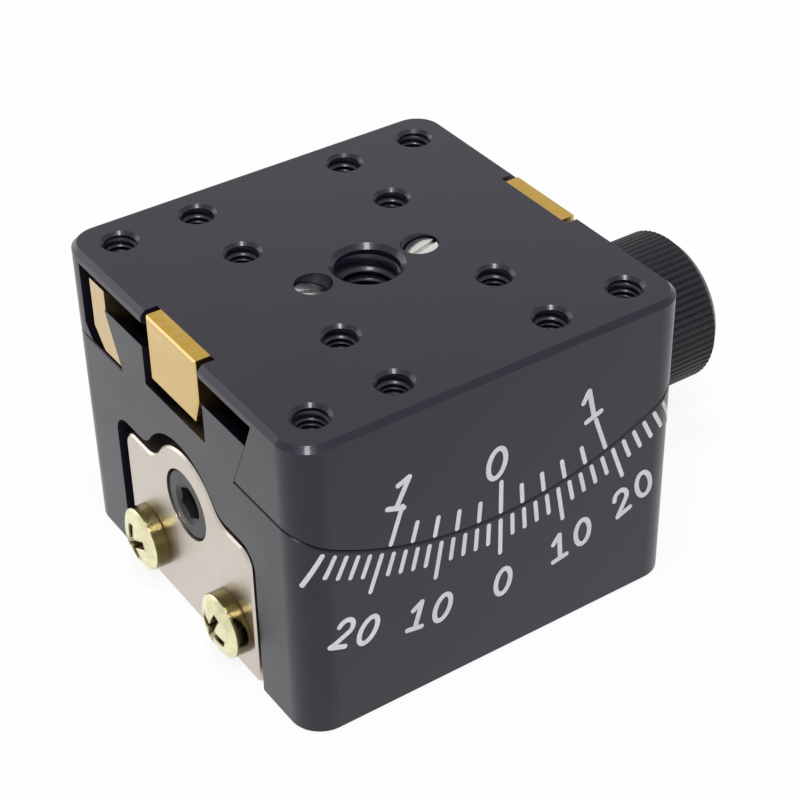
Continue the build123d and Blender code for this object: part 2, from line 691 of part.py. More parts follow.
PIECES = {
    "base_body": make_base_body,
    "stage_plate": make_stage_plate,
    "gib": make_gib,
    "gib_screws": make_gib_screws,
    "worm_sector": make_worm_sector,
    "sector_screws": make_sector_screws,
    "sector_dowels": lambda: [sector_dowel(-DOWEL_DEG), sector_dowel(DOWEL_DEG)],
    "stop_pin": stop_pin,
    "worm": make_worm,
    "worm_shaft": make_worm_shaft,
    "worm_pin": worm_cross_pin,
    "thrust_ball": lambda: Pos(thrust_ball_x(), 0, WORM_Z) * Sphere(BALL_R),
    "thrust_washer": make_thrust_washer,
    "rear_bush": make_rear_bush,
    "front_bush": make_front_bush,
    "knob_washer": make_knob_washer,
    "end_plate": make_end_plate,
    "end_plate_screws": make_end_plate_screws,
    "preload_screw": make_preload_screw,
    "knob": make_knob,
    "knob_set_screws": make_knob_set_screws,
}

os.makedirs("parts", exist_ok=True)
for name, make in PIECES.items():
    shape = make()
    if isinstance(shape, list):
        shape = Compound(shape)
    export_step(shape, f"parts/{name}.step")
    print(name, round(shape.volume, 2))
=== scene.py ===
import logging
import math
from collections.abc import Iterable, Sequence
from dataclasses import dataclass, field
from enum import Enum

import bpy
from mathutils import Matrix, Vector


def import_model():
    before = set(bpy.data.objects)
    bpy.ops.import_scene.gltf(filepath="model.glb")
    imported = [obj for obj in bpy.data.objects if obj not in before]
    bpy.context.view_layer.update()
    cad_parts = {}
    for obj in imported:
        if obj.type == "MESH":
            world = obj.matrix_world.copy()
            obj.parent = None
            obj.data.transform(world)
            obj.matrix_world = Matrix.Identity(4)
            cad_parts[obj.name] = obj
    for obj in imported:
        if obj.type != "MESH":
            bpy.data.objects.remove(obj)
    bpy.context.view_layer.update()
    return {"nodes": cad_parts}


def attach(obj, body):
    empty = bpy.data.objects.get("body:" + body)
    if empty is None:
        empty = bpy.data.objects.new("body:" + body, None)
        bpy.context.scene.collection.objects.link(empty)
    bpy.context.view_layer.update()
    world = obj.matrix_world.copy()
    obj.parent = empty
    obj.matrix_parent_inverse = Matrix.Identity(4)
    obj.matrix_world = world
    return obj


LOG = logging.getLogger("tilt_stage")

# Lengths are millimetres where a class doesn't say otherwise, and become metres in Blender.
MM = 0.001

# Driving sizes of the stage that the looks share
SIDE = 40.0
HEIGHT = 31.0
CORNER_R = 3.0
TILT_Z = 51.0
SEAM_R = 35.2
WORM_Z = 13.0

# Nominal radius and pitch of the threads, and how blunt an edge of theirs is shaded smooth
M3_R = 1.5
M3_PITCH = 0.5
M4_R = 2.0
M4_PITCH = 0.7
M6_R = 3.0
M6_PITCH = 1.0
THREAD_SMOOTH_DEGREES = 50.0

Colour = tuple[float, float, float]
Point2 = tuple[float, float]
Point3 = tuple[float, float, float]

UNIT_SPAN: Point2 = (0.0, 1.0)

# The Mix node lists its sockets by data type, and these are the ones for colours
MIX_FACTOR = 0
MIX_FIRST = 6
MIX_SECOND = 7
MIX_RESULT = 2


class Effect(Enum):
    """Surface effects that several finishes share, each one shader node group."""

    EDGE_WEAR = "edge wear"
    BLAST_GRAIN = "blast grain"
    BRUSH_LINES = "brush lines"
    TURNING_RINGS = "turning rings"
    HANDLING_MARKS = "handling marks"
    # Painted shade in corners, slots and under heads, from ambient occlusion
    PAINTED_CAVITY_SHADE = "painted shade in cavities"
    # Painted light and shade on the faces turned one way
    PAINTED_LIGHT_FACING = "painted light and shade on faces turned one way"


class Lay(Enum):
    """Which way the fine tool marks of a finish run."""

    BLASTED = "blasted"
    ALONG_Y = "brushed along Y"
    ALONG_Z = "brushed along Z"
    ABOUT_WORM = "turned about the worm axis"


class NodeBench:
    """A node tree together with short ways to add nodes and join them."""

    def __init__(self, tree: bpy.types.NodeTree) -> None:
        """Takes the tree to work on.

        Args:
            tree: material tree or node group.
        """
        self.tree = tree

    def add(self, kind: str, **settings: object) -> bpy.types.Node:
        """Adds one node.

        Args:
            kind: Blender's name for the node type.
            settings: properties of the node to set.

        Returns:
            The new node.
        """
        node = self.tree.nodes.new(kind)
        for key, value in settings.items():
            setattr(node, key, value)
        return node

    def join(self, output: bpy.types.NodeSocket, target: bpy.types.NodeSocket) -> None:
        """Links an output to an input."""
        self.tree.links.new(output, target)

    def feed(self, target: bpy.types.NodeSocket, value: object) -> None:
        """Gives an input either a link or a plain value.

        Args:
            target: the input socket.
            value: an output socket, or a number or vector.
        """
        if isinstance(value, bpy.types.NodeSocket):
            self.join(value, target)
        else:
            target.default_value = value

    def math(self, operation: str, first: object, second: object = 0.0) -> bpy.types.NodeSocket:
        """Adds a Math node.

        Args:
            operation: the node's operation.
            first: first operand, socket or number.
            second: second operand, socket or number.

        Returns:
            The result socket.
        """
        node = self.add("ShaderNodeMath", operation=operation)
        self.feed(node.inputs[0], first)
        self.feed(node.inputs[1], second)
        return node.outputs[0]

    def remap(self, value: bpy.types.NodeSocket, source: Point2, target: Point2) -> bpy.types.NodeSocket:
        """Maps a range of values onto another, with both ends held.

        Args:
            value: the socket to map.
            source: lowest and highest value that count.
            target: what those two become.

        Returns:
            The mapped socket.
        """
        node = self.add("ShaderNodeMapRange", clamp=True)
        self.feed(node.inputs["Value"], value)
        node.inputs["From Min"].default_value = source[0]
        node.inputs["From Max"].default_value = source[1]
        node.inputs["To Min"].default_value = target[0]
        node.inputs["To Max"].default_value = target[1]
        return node.outputs["Result"]

    def product(self, *factors: object) -> bpy.types.NodeSocket:
        """Multiplies values.

        Args:
            factors: two or more sockets or numbers.

        Returns:
            The product's socket.
        """
        result = factors[0]
        for factor in factors[1:]:
            result = self.math("MULTIPLY", result, factor)
        return result

    def weigh(self, first: object, second: object, share: float) -> bpy.types.NodeSocket:
        """Adds two values by weight.

        Args:
            first: socket or number.
            second: socket or number.
            share: weight of the first; the second gets the rest.

        Returns:
            The weighted sum's socket.
        """
        return self.math("ADD", self.product(first, share), self.product(second, 1.0 - share))

    def cosine(self, first: bpy.types.NodeSocket, second: bpy.types.NodeSocket) -> bpy.types.NodeSocket:
        """Compares two directions.

        Args:
            first: unit vector socket.
            second: unit vector socket.

        Returns:
            The cosine of the angle between them.
        """
        node = self.add("ShaderNodeVectorMath", operation="DOT_PRODUCT")
        self.join(first, node.inputs[0])
        self.join(second, node.inputs[1])
        return node.outputs["Value"]

    def noise(
        self, vector: object, scale: object, detail: float = 2.0, rough: float = 0.5
    ) -> bpy.types.NodeSocket:
        """Adds a noise texture.

        Args:
            vector: position socket.
            scale: waves per unit of the position, socket or number.
            detail: number of octaves.
            rough: weight of the finer octaves.

        Returns:
            The grey value socket.
        """
        node = self.add("ShaderNodeTexNoise")
        self.feed(node.inputs["Vector"], vector)
        self.feed(node.inputs["Scale"], scale)
        node.inputs["Detail"].default_value = detail
        node.inputs["Roughness"].default_value = rough
        return node.outputs["Fac"]

    def blend(self, factor: object, first: object, second: object) -> bpy.types.NodeSocket:
        """Mixes two colours.

        Args:
            factor: 0 gives the first colour and 1 the second.
            first: colour or socket.
            second: colour or socket.

        Returns:
            The mixed colour socket.
        """
        node = self.add("ShaderNodeMix", data_type="RGBA")
        self.feed(node.inputs[MIX_FACTOR], factor)
        self.feed(node.inputs[MIX_FIRST], first)
        self.feed(node.inputs[MIX_SECOND], second)
        return node.outputs[MIX_RESULT]


def fresh_bench(owner: bpy.types.Material | bpy.types.World) -> NodeBench:
    """Gives a material or world an empty node tree and the bench to fill it.

    Args:
        owner: the material or world.

    Returns:
        The bench over its empty tree.
    """
    owner.use_nodes = True
    owner.node_tree.nodes.clear()
    return NodeBench(owner.node_tree)


def place_object(name: str, data: bpy.types.ID) -> bpy.types.Object:
    """Makes an object of a mesh, lamp or camera and puts it into the scene.

    Args:
        name: name of the object.
        data: its mesh, lamp or camera.

    Returns:
        The new object.
    """
    made = bpy.data.objects.new(name, data)
    bpy.context.scene.collection.objects.link(made)
    return made


def solid_colour(colour: Colour) -> tuple[float, float, float, float]:
    """Adds full opacity to a colour."""
    return (*colour, 1.0)


class EffectGroups:
    """The shared shader node groups, each built on first use.

    Their lengths are metres, and their scales are waves per metre.
    """

    def __init__(self) -> None:
        """Starts with no group built."""
        self._made: dict[Effect, bpy.types.ShaderNodeTree] = {}

    def place(self, bench: NodeBench, effect: Effect, **values: object) -> bpy.types.Node:
        """Puts one group into a material.

        Args:
            bench: the material's bench.
            effect: which group.
            values: inputs by name, with underscores for spaces; a number, vector or socket each.

        Returns:
            The group node.
        """
        if effect not in self._made:
            self._made[effect] = self._build(effect)
        node = bench.add("ShaderNodeGroup", node_tree=self._made[effect])
        for key, value in values.items():
            bench.feed(node.inputs[key.replace("_", " ")], value)
        return node

    def _build(self, effect: Effect) -> bpy.types.ShaderNodeTree:
        """Builds the node group of one effect.

        Args:
            effect: which one.

        Returns:
            The group's node tree.
        """
        makers = {
            Effect.EDGE_WEAR: self._edge_wear,
            Effect.BLAST_GRAIN: self._blast_grain,
            Effect.BRUSH_LINES: self._brush_lines,
            Effect.TURNING_RINGS: self._turning_rings,
            Effect.HANDLING_MARKS: self._handling_marks,
            Effect.PAINTED_CAVITY_SHADE: self._painted_cavity_shade,
            Effect.PAINTED_LIGHT_FACING: self._painted_light_facing,
        }
        return makers[effect]()

    def _open(
        self, effect: Effect, inputs: dict[str, float | Point3], outputs: Sequence[str]
    ) -> tuple[NodeBench, bpy.types.Node, bpy.types.Node]:
        """Starts a group with its named sockets.

        Args:
            effect: which group; its value is the group's name.
            inputs: default value of each input; three numbers make it a vector.
            outputs: names of the grey outputs.

        Returns:
            The bench, the group's input node and its output node.
        """
        tree = bpy.data.node_groups.new(effect.value, "ShaderNodeTree")
        for label, value in inputs.items():
            kind = "NodeSocketVector" if isinstance(value, tuple) else "NodeSocketFloat"
            socket = tree.interface.new_socket(name=label, in_out="INPUT", socket_type=kind)
            socket.default_value = value
        for label in outputs:
            tree.interface.new_socket(name=label, in_out="OUTPUT", socket_type="NodeSocketFloat")
        bench = NodeBench(tree)
        return bench, bench.add("NodeGroupInput"), bench.add("NodeGroupOutput")

    def _close_marks(
        self, bench: NodeBench, result: bpy.types.Node, height: bpy.types.NodeSocket, tone_span: Point2
    ) -> bpy.types.ShaderNodeTree:
        """Puts out the height of tool marks, and a tone that follows it.

        Args:
            bench: the group's bench.
            result: its output node.
            height: the marks' height.
            tone_span: heights where the tone is 0 and 1.

        Returns:
            The finished group.
        """
        bench.join(height, result.inputs["Height"])
        bench.join(bench.remap(height, tone_span, UNIT_SPAN), result.inputs["Tone"])
        return bench.tree

    def _edge_wear(self) -> bpy.types.ShaderNodeTree:
        """Mask of rubbed edges: high where the rounded normal leaves the real one.

        Returns:
            The group's node tree.
        """
        bend_span = (0.02, 0.22)
        cloud_span = (0.38, 0.62)
        least_rubbed = 0.15
        inputs = {"Width": 0.0001, "Amount": 0.5, "Breakup": 900.0}
        bench, given, result = self._open(Effect.EDGE_WEAR, inputs, ["Mask"])
        rounded = bench.add("ShaderNodeBevel", samples=6)
        bench.join(given.outputs["Width"], rounded.inputs["Radius"])
        true_normal = bench.add("ShaderNodeNewGeometry").outputs["Normal"]
        bend = bench.math("SUBTRACT", 1.0, bench.cosine(rounded.outputs["Normal"], true_normal))
        edge = bench.remap(bend, bend_span, UNIT_SPAN)
        place = bench.add("ShaderNodeTexCoord").outputs["Object"]
        cloud = bench.noise(place, given.outputs["Breakup"], detail=4.0, rough=0.6)
        patches = bench.remap(cloud, cloud_span, (least_rubbed, 1.0))
        bench.join(bench.product(edge, patches, given.outputs["Amount"]), result.inputs["Mask"])
        return bench.tree

    def _blast_grain(self) -> bpy.types.ShaderNodeTree:
        """Fine even pits of a bead-blasted and anodised face.

        Returns:
            The group's node tree.
        """
        fine_share = 0.7
        coarse_scale = 0.3
        tone_span = (0.36, 0.64)
        bench, given, result = self._open(Effect.BLAST_GRAIN, {"Scale": 9000.0}, ["Height", "Tone"])
        place = bench.add("ShaderNodeTexCoord").outputs["Object"]
        fine = bench.noise(place, given.outputs["Scale"], detail=3.0, rough=0.65)
        coarse = bench.noise(place, bench.product(given.outputs["Scale"], coarse_scale))
        height = bench.weigh(fine, coarse, fine_share)
        return self._close_marks(bench, result, height, tone_span)

    def _brush_lines(self) -> bpy.types.ShaderNodeTree:
        """Fine parallel scratches; the given position is already stretched along them.

        Returns:
            The group's node tree.
        """
        line_share = 0.75
        band_scale = 0.22
        tone_span = (0.35, 0.65)
        inputs = {"Position": (0.0, 0.0, 0.0), "Scale": 4000.0}
        bench, given, result = self._open(Effect.BRUSH_LINES, inputs, ["Height", "Tone"])
        position = given.outputs["Position"]
        lines = bench.noise(position, given.outputs["Scale"], detail=4.0, rough=0.7)
        bands = bench.noise(position, bench.product(given.outputs["Scale"], band_scale))
        height = bench.weigh(lines, bands, line_share)
        return self._close_marks(bench, result, height, tone_span)

    def _turning_rings(self) -> bpy.types.ShaderNodeTree:
        """Rings about the Z axis of the given position, as a lathe tool leaves them.

        Returns:
            The group's node tree.
        """
        wave_height = 0.2
        uneven_scale = 0.37
        tone_span = (0.25, 0.75)
        inputs = {"Position": (0.0, 0.0, 0.0), "Pitch": 0.0001}
        bench, given, result = self._open(Effect.TURNING_RINGS, inputs, ["Height", "Tone"])
        parts = bench.add("ShaderNodeSeparateXYZ")
        bench.join(given.outputs["Position"], parts.inputs[0])
        squares = [bench.product(parts.outputs[axis], parts.outputs[axis]) for axis in ("X", "Y")]
        radius = bench.math("SQRT", bench.math("ADD", *squares))
        travel = bench.math("ADD", radius, parts.outputs["Z"])
        turns = bench.math("DIVIDE", travel, given.outputs["Pitch"])
        wave = bench.math("SINE", bench.product(turns, math.tau))
        spread = bench.add("ShaderNodeCombineXYZ")
        bench.join(turns, spread.inputs["X"])
        uneven = bench.noise(spread.outputs[0], uneven_scale, detail=3.0, rough=0.6)
        height = bench.math("ADD", bench.product(wave, wave_height), uneven)
        return self._close_marks(bench, result, height, tone_span)

    def _handling_marks(self) -> bpy.types.ShaderNodeTree:
        """Large soft patches where fingers and cloths have been.

        Returns:
            The group's node tree.
        """
        tone_span = (0.35, 0.65)
        bench, given, result = self._open(Effect.HANDLING_MARKS, {"Scale": 120.0}, ["Tone"])
        place = bench.add("ShaderNodeTexCoord").outputs["Object"]
        cloud = bench.noise(place, given.outputs["Scale"], detail=4.0, rough=0.55)
        bench.join(bench.remap(cloud, tone_span, UNIT_SPAN), result.inputs["Tone"])
        return bench.tree

    def _painted_cavity_shade(self) -> bpy.types.ShaderNodeTree:
        """Mask of painted shade: ambient occlusion darkens corners, slots, sockets and the ground under
        heads, where shade falls.

        Returns:
            The group's node tree.
        """
        corner_to_slot = (0.30, 0.85)
        bench, given, result = self._open(Effect.PAINTED_CAVITY_SHADE, {"Reach": 0.0005, "Amount": 0.5}, ["Mask"])
        open_sky = bench.add("ShaderNodeAmbientOcclusion", samples=8)
        bench.join(given.outputs["Reach"], open_sky.inputs["Distance"])
        closed = bench.math("SUBTRACT", 1.0, open_sky.outputs["AO"])
        depth = bench.remap(closed, corner_to_slot, UNIT_SPAN)
        bench.join(bench.product(depth, given.outputs["Amount"]), result.inputs["Mask"])
        return bench.tree

    def _painted_light_facing(self) -> bpy.types.ShaderNodeTree:
        """Mask of the faces that look along a direction of the piece's own frame, broken up a little,
        where light and shade are painted onto them.

        Returns:
            The group's node tree.
        """
        softness = 0.2
        cloud_scale = 900.0
        cloud_span = (0.3, 0.6)
        least_cover = 0.7
        inputs = {"Direction": (0.0, 0.0, 1.0), "Start": 0.7, "Amount": 1.0}
        bench, given, result = self._open(Effect.PAINTED_LIGHT_FACING, inputs, ["Mask"])
        place = bench.add("ShaderNodeTexCoord")
        cosine = bench.cosine(place.outputs["Normal"], given.outputs["Direction"])
        rise = bench.math("SUBTRACT", cosine, given.outputs["Start"])
        facing = bench.remap(rise, (0.0, softness), UNIT_SPAN)
        cloud = bench.noise(place.outputs["Object"], cloud_scale, detail=3.0, rough=0.6)
        cover = bench.remap(cloud, cloud_span, (least_cover, 1.0))
        bench.join(bench.product(facing, cover, given.outputs["Amount"]), result.inputs["Mask"])
        return bench.tree


# Looks that all finishes share
HANDLING_SCALE = 160.0
WEAR_PATCH_SCALE = 700.0
GLOSS_SPAN: Point2 = (0.1, 0.9)
BUMP_STRENGTH = 0.6
BRUSH_STRETCH = 0.04


@dataclass(frozen=True)
class Finish:
    """One metal or paint finish: two tones, a range of gloss, fine tool marks and rubbed edges, and on
    some finishes painted light and shade.

    Widths, heights, reach and rounding are millimetres. mark_scale is waves per metre, except where
    the lay is turned, where it is the pitch of the rings in millimetres. The painted light colour lies on
    faces within painted_light_start, a cosine, of painted_light_direction, as painted light and shade on
    those faces. The painted shade colour darkens corners, slots and the ground under heads by ambient
    occlusion, as far as its reach.
    """

    label: str
    colour: Colour
    second_colour: Colour
    roughness: Point2
    metallic: float = 0.0
    lay: Lay = Lay.BLASTED
    mark_scale: float = 9000.0
    mark_height: float = 0.02
    specular: float = 0.5
    specular_tint: Colour = (1.0, 1.0, 1.0)
    coat: float = 0.0
    coat_roughness: float = 0.2
    wear_colour: Colour = (0.4, 0.4, 0.42)
    wear_amount: float = 0.3
    wear_width: float = 0.1
    # Painted shade in corners, slots and under heads, from ambient occlusion
    painted_shade_colour: Colour = (0.02, 0.018, 0.015)
    painted_shade_amount: float = 0.0
    painted_shade_reach: float = 0.6
    # Painted light and shade on the faces turned one way
    painted_light_colour: Colour | None = None
    painted_light_direction: Point3 = (0.0, 0.0, 1.0)
    painted_light_start: float = 0.7
    rounding: float = 0.0

    def build(self, groups: EffectGroups) -> bpy.types.Material:
        """Makes the material.

        Args:
            groups: the shared effects.

        Returns:
            The finished material.
        """
        material = bpy.data.materials.new(self.label)
        bench = fresh_bench(material)
        shader = bench.add("ShaderNodeBsdfPrincipled")
        surface = bench.add("ShaderNodeOutputMaterial")
        bench.join(shader.outputs["BSDF"], surface.inputs["Surface"])
        marks = self._tool_marks(bench, groups)
        handling = groups.place(bench, Effect.HANDLING_MARKS, Scale=HANDLING_SCALE)
        tones = (marks.outputs["Tone"], handling.outputs["Tone"])
        bench.join(self._colour(bench, groups, bench.product(*tones)), shader.inputs["Base Color"])
        gloss = bench.weigh(*tones, share=0.5)
        bench.join(bench.remap(gloss, GLOSS_SPAN, self.roughness), shader.inputs["Roughness"])
        bench.join(self._normal(bench, marks.outputs["Height"]), shader.inputs["Normal"])
        even_values = {
            "Metallic": self.metallic,
            "Specular IOR Level": self.specular,
            "Specular Tint": solid_colour(self.specular_tint),
            "Coat Weight": self.coat,
            "Coat Roughness": self.coat_roughness,
        }
        for socket, value in even_values.items():
            shader.inputs[socket].default_value = value
        return material

    def _colour(
        self, bench: NodeBench, groups: EffectGroups, tone: bpy.types.NodeSocket
    ) -> bpy.types.NodeSocket:
        """Builds the base colour: two tones, then painted light and shade on faces turned one way, rubbed
        edges, and painted shade in corners and slots.

        Args:
            bench: the material's bench.
            groups: the shared effects.
            tone: 0 where the first tone shows and 1 where the second does.

        Returns:
            The colour's socket.
        """
        layers = []
        # Painted light and shade on the faces turned one way
        if self.painted_light_colour is not None:
            values = {"Direction": self.painted_light_direction, "Start": self.painted_light_start}
            layers.append((Effect.PAINTED_LIGHT_FACING, values, self.painted_light_colour))
        if self.wear_amount > 0.0:
            values = {"Width": self.wear_width * MM, "Amount": self.wear_amount}
            values["Breakup"] = WEAR_PATCH_SCALE
            layers.append((Effect.EDGE_WEAR, values, self.wear_colour))
        # Painted shade in corners, slots and under heads
        if self.painted_shade_amount > 0.0:
            values = {"Reach": self.painted_shade_reach * MM, "Amount": self.painted_shade_amount}
            layers.append((Effect.PAINTED_CAVITY_SHADE, values, self.painted_shade_colour))
        colour = bench.blend(tone, solid_colour(self.colour), solid_colour(self.second_colour))
        for effect, values, layer_colour in layers:
            mask = groups.place(bench, effect, **values).outputs["Mask"]
            colour = bench.blend(mask, colour, solid_colour(layer_colour))
        return colour

    def _normal(self, bench: NodeBench, height: bpy.types.NodeSocket) -> bpy.types.NodeSocket:
        """Builds the shaded normal from the tool marks, over edges softened by the finish's rounding.

        Args:
            bench: the material's bench.
            height: height of the tool marks.

        Returns:
            The normal's socket.
        """
        bump = bench.add("ShaderNodeBump")
        bump.inputs["Strength"].default_value = BUMP_STRENGTH
        bump.inputs["Distance"].default_value = self.mark_height * MM
        bench.join(height, bump.inputs["Height"])
        if self.rounding > 0.0:
            soft = bench.add("ShaderNodeBevel", samples=8)
            soft.inputs["Radius"].default_value = self.rounding * MM
            bench.join(soft.outputs["Normal"], bump.inputs["Normal"])
        return bump.outputs["Normal"]

    def _tool_marks(self, bench: NodeBench, groups: EffectGroups) -> bpy.types.Node:
        """Places the group that makes this finish's fine marks.

        Args:
            bench: the material's bench.
            groups: the shared effects.

        Returns:
            A node with Height and Tone outputs.
        """
        place = bench.add("ShaderNodeTexCoord").outputs["Object"]
        if self.lay in (Lay.ALONG_Y, Lay.ALONG_Z):
            stretch = bench.add("ShaderNodeMapping")
            bench.join(place, stretch.inputs["Vector"])
            along_y = self.lay is Lay.ALONG_Y
            scales = (1.0, BRUSH_STRETCH, 1.0) if along_y else (1.0, 1.0, BRUSH_STRETCH)
            stretch.inputs["Scale"].default_value = scales
            position = stretch.outputs["Vector"]
            return groups.place(bench, Effect.BRUSH_LINES, Position=position, Scale=self.mark_scale)
        if self.lay is Lay.ABOUT_WORM:
            turn = bench.add("ShaderNodeMapping", vector_type="TEXTURE")
            bench.join(place, turn.inputs["Vector"])
            turn.inputs["Location"].default_value = (0.0, 0.0, WORM_Z * MM)
            turn.inputs["Rotation"].default_value = (0.0, math.pi / 2, 0.0)
            position = turn.outputs["Vector"]
            pitch = self.mark_scale * MM
            return groups.place(bench, Effect.TURNING_RINGS, Position=position, Pitch=pitch)
        return groups.place(bench, Effect.BLAST_GRAIN, Scale=self.mark_scale)


BLACK_ANODISED = Finish(
    label="black anodised aluminium",
    colour=(0.007, 0.0055, 0.013),
    second_colour=(0.011, 0.009, 0.018),
    roughness=(0.30, 0.40),
    specular=0.33,
    specular_tint=(0.92, 0.89, 1.0),
    coat=0.25,
    coat_roughness=0.1,
    mark_scale=14000.0,
    mark_height=0.012,
    wear_colour=(0.13, 0.13, 0.15),
    wear_amount=0.25,
    wear_width=0.1,
)
KNOB_BLACK = Finish(
    label="black anodised knob",
    colour=(0.006, 0.005, 0.009),
    second_colour=(0.010, 0.009, 0.014),
    roughness=(0.38, 0.52),
    specular=0.34,
    lay=Lay.ABOUT_WORM,
    mark_scale=0.12,
    mark_height=0.01,
    wear_colour=(0.20, 0.20, 0.21),
    wear_amount=0.55,
    wear_width=0.06,
)
SECTOR_BRASS = Finish(
    label="machined brass",
    colour=(0.68, 0.48, 0.19),
    second_colour=(0.78, 0.59, 0.29),
    roughness=(0.26, 0.40),
    metallic=1.0,
    lay=Lay.ALONG_Y,
    mark_scale=5200.0,
    mark_height=0.01,
    wear_colour=(0.95, 0.85, 0.60),
    wear_amount=0.3,
    # Painted reflection: darker, more saturated top faces, as brass mirroring a darker surrounding
    painted_light_colour=(0.60, 0.38, 0.07),
)
GIB_BRASS = Finish(
    label="scraped brass",
    colour=(0.66, 0.50, 0.28),
    second_colour=(0.76, 0.61, 0.38),
    roughness=(0.30, 0.45),
    metallic=1.0,
    lay=Lay.ALONG_Z,
    mark_scale=4200.0,
    mark_height=0.01,
    wear_colour=(0.96, 0.88, 0.68),
    wear_amount=0.4,
)
BEARING_BRONZE = Finish(
    label="bearing bronze",
    colour=(0.60, 0.40, 0.21),
    second_colour=(0.72, 0.50, 0.30),
    roughness=(0.30, 0.48),
    metallic=1.0,
    lay=Lay.ABOUT_WORM,
    mark_scale=0.09,
)
END_PLATE_METAL = Finish(
    label="fine ground plate",
    colour=(0.62, 0.56, 0.49),
    second_colour=(0.72, 0.67, 0.60),
    roughness=(0.28, 0.42),
    metallic=1.0,
    lay=Lay.ALONG_Z,
    mark_scale=5000.0,
    mark_height=0.006,
    wear_colour=(0.95, 0.94, 0.90),
    wear_amount=0.5,
    # Painted shadow round the screw heads and along the recess edges
    painted_shade_colour=(0.16, 0.13, 0.10),
    painted_shade_amount=0.6,
    painted_shade_reach=0.9,
)
YELLOW_ZINC = Finish(
    label="yellow zinc plating",
    # The dark olive tones are painted shade on the sides of the heads
    colour=(0.13, 0.11, 0.045),
    second_colour=(0.28, 0.25, 0.12),
    roughness=(0.12, 0.26),
    metallic=1.0,
    mark_scale=2500.0,
    mark_height=0.05,
    wear_colour=(0.95, 0.92, 0.75),
    wear_amount=0.6,
    # Painted shadow under the heads and in the cross recesses
    painted_shade_colour=(0.10, 0.05, 0.02),
    painted_shade_amount=0.9,
    painted_shade_reach=1.2,
    # Pale lit colour of the heads' faces turned along -X: painted light against the shaded sides
    painted_light_colour=(0.91, 0.86, 0.56),
    painted_light_direction=(-1.0, 0.0, 0.0),
    painted_light_start=0.6,
    rounding=0.45,
)
BLACK_OXIDE = Finish(
    label="black oxide steel",
    colour=(0.035, 0.032, 0.037),
    second_colour=(0.06, 0.055, 0.065),
    roughness=(0.25, 0.42),
    metallic=0.6,
    mark_scale=7000.0,
    mark_height=0.01,
    wear_colour=(0.30, 0.30, 0.31),
    wear_amount=0.4,
)
GROUND_STEEL = Finish(
    label="ground steel",
    colour=(0.55, 0.55, 0.56),
    second_colour=(0.65, 0.65, 0.66),
    roughness=(0.18, 0.32),
    metallic=1.0,
    lay=Lay.ABOUT_WORM,
    mark_scale=0.08,
)
BRIGHT_SCREW = Finish(
    label="bright stainless screw",
    colour=(0.78, 0.78, 0.75),
    second_colour=(0.88, 0.88, 0.85),
    roughness=(0.16, 0.30),
    metallic=1.0,
    mark_scale=5000.0,
    mark_height=0.015,
    wear_colour=(0.95, 0.95, 0.93),
    wear_amount=0.4,
)
SCALE_PAINT = Finish(
    label="white scale filling",
    colour=(0.62, 0.62, 0.66),
    second_colour=(0.78, 0.78, 0.82),
    roughness=(0.55, 0.75),
    mark_scale=3500.0,
    mark_height=0.01,
    wear_amount=0.0,
)


class FinishShop:
    """Builds each finish once and hands it out."""

    def __init__(self) -> None:
        """Starts with the shared groups and no material."""
        self._groups = EffectGroups()
        self._made: dict[str, bpy.types.Material] = {}

    def material(self, finish: Finish) -> bpy.types.Material:
        """Gives the material of a finish, made on first use.

        Args:
            finish: which finish.

        Returns:
            Its material.
        """
        if finish.label not in self._made:
            self._made[finish.label] = finish.build(self._groups)
        return self._made[finish.label]

    def coat(self, piece: bpy.types.Object, finish: Finish) -> None:
        """Puts one finish on every face of a piece.

        Args:
            piece: the object to dress.
            finish: what it gets.
        """
        piece.data.materials.clear()
        piece.data.materials.append(self.material(finish))


class MeshMaker:
    """Collects vertices and faces in millimetres and makes one object of them."""

    def __init__(self) -> None:
        """Starts empty."""
        self.points: list[Point3] = []
        self.faces: list[tuple[int, ...]] = []

    def add_sweep(self, rings: Sequence[Sequence[Point3]], closed: bool) -> None:
        """Joins rings of points into a closed skin.

        Args:
            rings: rings in order, each with the same number of points.
            closed: True if the last ring meets the first, else both ends are capped.
        """
        base = len(self.points)
        count = len(rings[0])
        for ring in rings:
            self.points.extend(ring)
        spans = len(rings) if closed else len(rings) - 1
        for row in range(spans):
            here = base + row * count
            there = base + ((row + 1) % len(rings)) * count
            for index in range(count):
                after = (index + 1) % count
                self.faces.append((here + index, here + after, there + after, there + index))
        if not closed:
            last = base + (len(rings) - 1) * count
            self.faces.append(tuple(base + index for index in reversed(range(count))))
            self.faces.append(tuple(last + index for index in range(count)))

    def build(self, name: str, smooth_degrees: float = 35.0) -> bpy.types.Object:
        """Makes the object.

        Args:
            name: name of the piece.
            smooth_degrees: edges flatter than this are shaded smooth.

        Returns:
            The new object, linked to the scene.
        """
        mesh = bpy.data.meshes.new(name)
        mesh.from_pydata([Vector(p) * MM for p in self.points], [], self.faces)
        mesh.validate()
        mesh.update()
        mesh.shade_smooth()
        mesh.set_sharp_from_angle(angle=math.radians(smooth_degrees))
        return place_object(name, mesh)


@dataclass
class Stroke:
    """One stroke of an engraving tool in the plane of the scale face, X to the right and Z up.

    Where strokes cross, the one on the higher layer covers the other.
    """

    points: list[Point2]
    width: float
    closed: bool = False
    layer: int = 0

    def resampled(self, step: float) -> list[Point2]:
        """Gives points along the stroke about a step apart.

        Args:
            step: distance between points.

        Returns:
            The points, with both ends kept.
        """
        route = self.points + self.points[:1] if self.closed else self.points
        result = [route[0]]
        for start, end in zip(route, route[1:]):
            pieces = max(1, math.ceil(math.dist(start, end) / step))
            dx, dz = end[0] - start[0], end[1] - start[1]
            for part in range(1, pieces + 1):
                share = part / pieces
                result.append((start[0] + dx * share, start[1] + dz * share))
        return result[:-1] if self.closed else result


